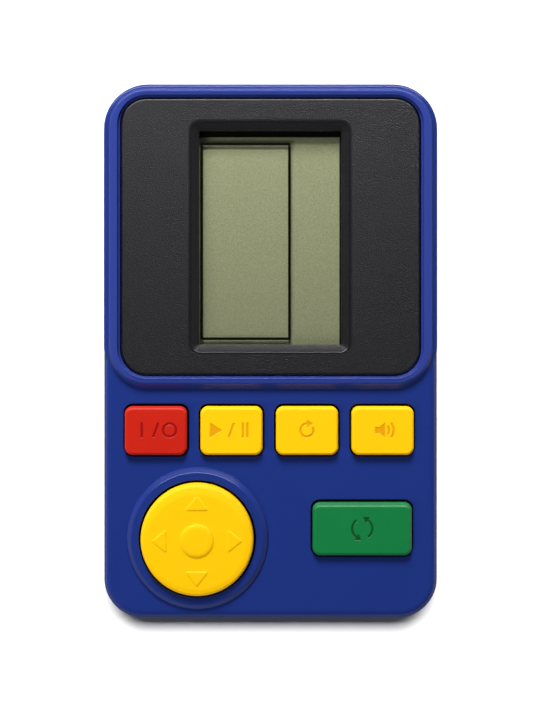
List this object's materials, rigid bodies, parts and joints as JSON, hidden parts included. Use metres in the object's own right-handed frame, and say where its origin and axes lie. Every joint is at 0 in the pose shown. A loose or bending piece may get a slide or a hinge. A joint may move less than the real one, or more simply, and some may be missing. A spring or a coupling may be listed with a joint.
{
  "type": "handheld game console",
  "caption": "Flat handheld game console with a raised screen frame, dark bezel, bevelled LCD window, push keys, a tilting direction pad and a sliding battery door.",
  "frame": {"origin": "middle of the body's outline on the flat back that it lies on", "axes": "+X to the right of the face, +Y to the screen end, +Z out of the face"},
  "size_m": [0.075, 0.12, 0.0253],
  "materials": {
    "shell_blue": "satin gloss moulded",
    "bezel_charcoal": "fine grained",
    "tape_black": "matte",
    "display_film": "satin film",
    "display_glass": "clear",
    "reflector_film": "matte film",
    "holder_white": "matte moulded",
    "zebra_rubber": "layered rubber",
    "board_green": "solder mask",
    "epoxy_black": "glossy epoxy",
    "capacitor_sleeve": "shrink sleeve",
    "sounder_brass": "rolled",
    "sounder_ceramic": "fired ceramic",
    "wire_red": "insulated",
    "wire_black": "insulated",
    "cell_case": "plain sleeve",
    "contact_steel": "nickel plated",
    "screw_steel": "zinc plated",
    "pad_yellow": "satin gloss moulded",
    "key_red": "satin gloss moulded",
    "key_green": "satin gloss moulded",
    "pivot_plastic": "moulded",
    "silicone_grey": "silicone",
    "carbon_pill": "conductive carbon"
  },
  "bodies": {
    "console": {"front_shell": "shell_blue", "back_shell": "shell_blue", "screen_bezel": "bezel_charcoal", "bezel_tape": "tape_black", "lcd_polarizer": "display_film", "lcd_front_glass": "display_glass", "lcd_rear_glass": "display_glass", "lcd_reflector": "reflector_film", "lcd_holder": "holder_white", "zebra_strip": "zebra_rubber", "main_board": "board_green", "chip_cap": "epoxy_black", "capacitor": "capacitor_sleeve", "resistors": "epoxy_black", "sounder_disc": "sounder_brass", "sounder_ceramic": "sounder_ceramic", "sounder_wires": "wire_red", "upper_cell": "cell_case", "lower_cell": "cell_case", "positive_contact": "contact_steel", "negative_contact": "contact_steel", "bridge_contact": "contact_steel", "cell_springs": "contact_steel", "red_wire": "wire_red", "black_wire": "wire_black", "case_screws": "screw_steel", "board_screws": "screw_steel", "pivot_post": "pivot_plastic", "pad_mat": "silicone_grey", "power_dome": "silicone_grey", "start_dome": "silicone_grey", "reset_dome": "silicone_grey", "sound_dome": "silicone_grey", "rotate_dome": "silicone_grey"},
    "door": {"battery_door": "shell_blue"},
    "pad_pivot": {"pivot_ball": "pivot_plastic"},
    "pad": {"direction_pad": "pad_yellow", "pad_pills": "carbon_pill"},
    "power": {"power_key": "key_red", "power_pill": "carbon_pill"},
    "start": {"start_key": "pad_yellow", "start_pill": "carbon_pill"},
    "reset": {"reset_key": "pad_yellow", "reset_pill": "carbon_pill"},
    "sound": {"sound_key": "pad_yellow", "sound_pill": "carbon_pill"},
    "rotate": {"rotate_key": "key_green", "rotate_pill": "carbon_pill"}
  },
  "joints": [
    {"name": "power_press", "type": "slide", "parent": "console", "child": "power", "axis": [0, 0, -1], "range_m": [0, 0.001], "stiffness_N_per_m": 500, "springref_m": -0.0005, "deforming": ["power_dome"]},
    {"name": "start_press", "type": "slide", "parent": "console", "child": "start", "axis": [0, 0, -1], "range_m": [0, 0.001], "stiffness_N_per_m": 500, "springref_m": -0.0005, "deforming": ["start_dome"]},
    {"name": "reset_press", "type": "slide", "parent": "console", "child": "reset", "axis": [0, 0, -1], "range_m": [0, 0.001], "stiffness_N_per_m": 500, "springref_m": -0.0005, "deforming": ["reset_dome"]},
    {"name": "sound_press", "type": "slide", "parent": "console", "child": "sound", "axis": [0, 0, -1], "range_m": [0, 0.001], "stiffness_N_per_m": 500, "springref_m": -0.0005, "deforming": ["sound_dome"]},
    {"name": "rotate_press", "type": "slide", "parent": "console", "child": "rotate", "axis": [0, 0, -1], "range_m": [0, 0.001], "stiffness_N_per_m": 500, "springref_m": -0.0005, "deforming": ["rotate_dome"]},
    {"name": "pad_left_right", "type": "hinge", "parent": "console", "child": "pad_pivot", "pos_m": [-0.0164, -0.042, 0.0205], "axis": [0, 1, 0], "range_deg": [-4, 4], "stiffness_Nm_per_rad": 0.15, "deforming": ["pad_mat"]},
    {"name": "pad_up_down", "type": "hinge", "parent": "pad_pivot", "child": "pad", "pos_m": [-0.0164, -0.042, 0.0205], "axis": [1, 0, 0], "range_deg": [-4, 4], "stiffness_Nm_per_rad": 0.15},
    {"name": "door_slide", "type": "slide", "parent": "console", "child": "door", "axis": [0, -1, 0], "range_m": [0, 0.029]}
  ]
}
